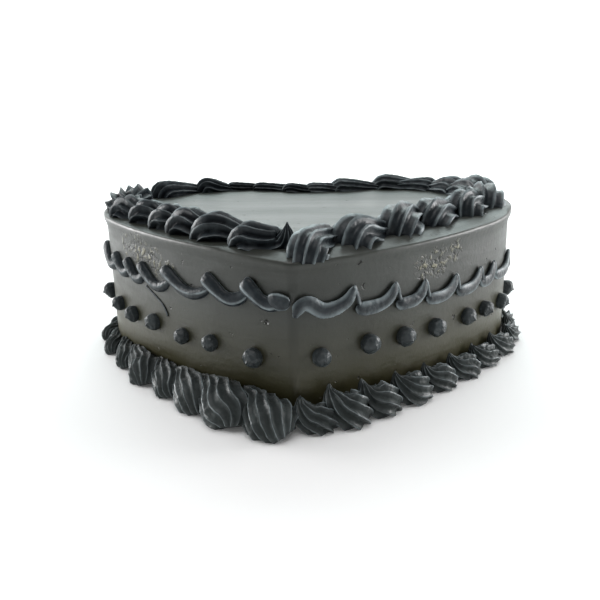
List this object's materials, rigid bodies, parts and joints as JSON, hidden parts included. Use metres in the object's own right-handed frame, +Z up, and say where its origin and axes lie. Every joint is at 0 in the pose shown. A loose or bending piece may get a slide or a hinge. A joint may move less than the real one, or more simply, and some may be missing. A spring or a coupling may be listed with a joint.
{
  "type": "heart-shaped cake",
  "caption": "Heart-shaped layer cake iced in dark satin buttercream, with piped swirl borders round the top edge and foot, a hanging garland and a row of dots on the side.",
  "frame": {"origin": "middle of the whole outline in plan, at the underside", "axes": "+X to the right as seen from the tip, +Y from the tip toward the cleft, +Z up"},
  "size_m": [0.2274, 0.2016, 0.0839],
  "materials": {
    "icing": "smooth satin buttercream with spatula marks",
    "piping": "satin buttercream with fine ridges from a star tip"
  },
  "bodies": {
    "root": {"cake_body": "icing", "top_swirl_01": "piping", "top_swirl_02": "piping", "top_swirl_03": "piping", "top_swirl_04": "piping", "top_swirl_05": "piping", "top_swirl_06": "piping", "top_swirl_07": "piping", "top_swirl_08": "piping", "top_swirl_09": "piping", "top_swirl_10": "piping", "top_swirl_11": "piping", "top_swirl_12": "piping", "top_swirl_13": "piping", "top_swirl_14": "piping", "top_swirl_15": "piping", "top_swirl_16": "piping", "top_swirl_17": "piping", "top_swirl_18": "piping", "top_swirl_19": "piping", "top_swirl_20": "piping", "top_swirl_21": "piping", "top_swirl_22": "piping", "top_swirl_23": "piping", "top_swirl_24": "piping", "top_swirl_25": "piping", "base_border_right": "piping", "base_border_left": "piping", "garland_right": "piping", "garland_left": "piping", "dot_right_01": "piping", "dot_right_02": "piping", "dot_right_03": "piping", "dot_right_04": "piping", "dot_right_05": "piping", "dot_right_06": "piping", "dot_right_07": "piping", "dot_right_08": "piping", "dot_right_09": "piping", "dot_right_10": "piping", "dot_right_11": "piping", "dot_right_12": "piping", "dot_right_13": "piping", "dot_left_01": "piping", "dot_left_02": "piping", "dot_left_03": "piping", "dot_left_04": "piping", "dot_left_05": "piping", "dot_left_06": "piping", "dot_left_07": "piping", "dot_left_08": "piping", "dot_left_09": "piping", "dot_left_10": "piping", "dot_left_11": "piping", "dot_left_12": "piping", "dot_left_13": "piping"}
  },
  "joints": []
}
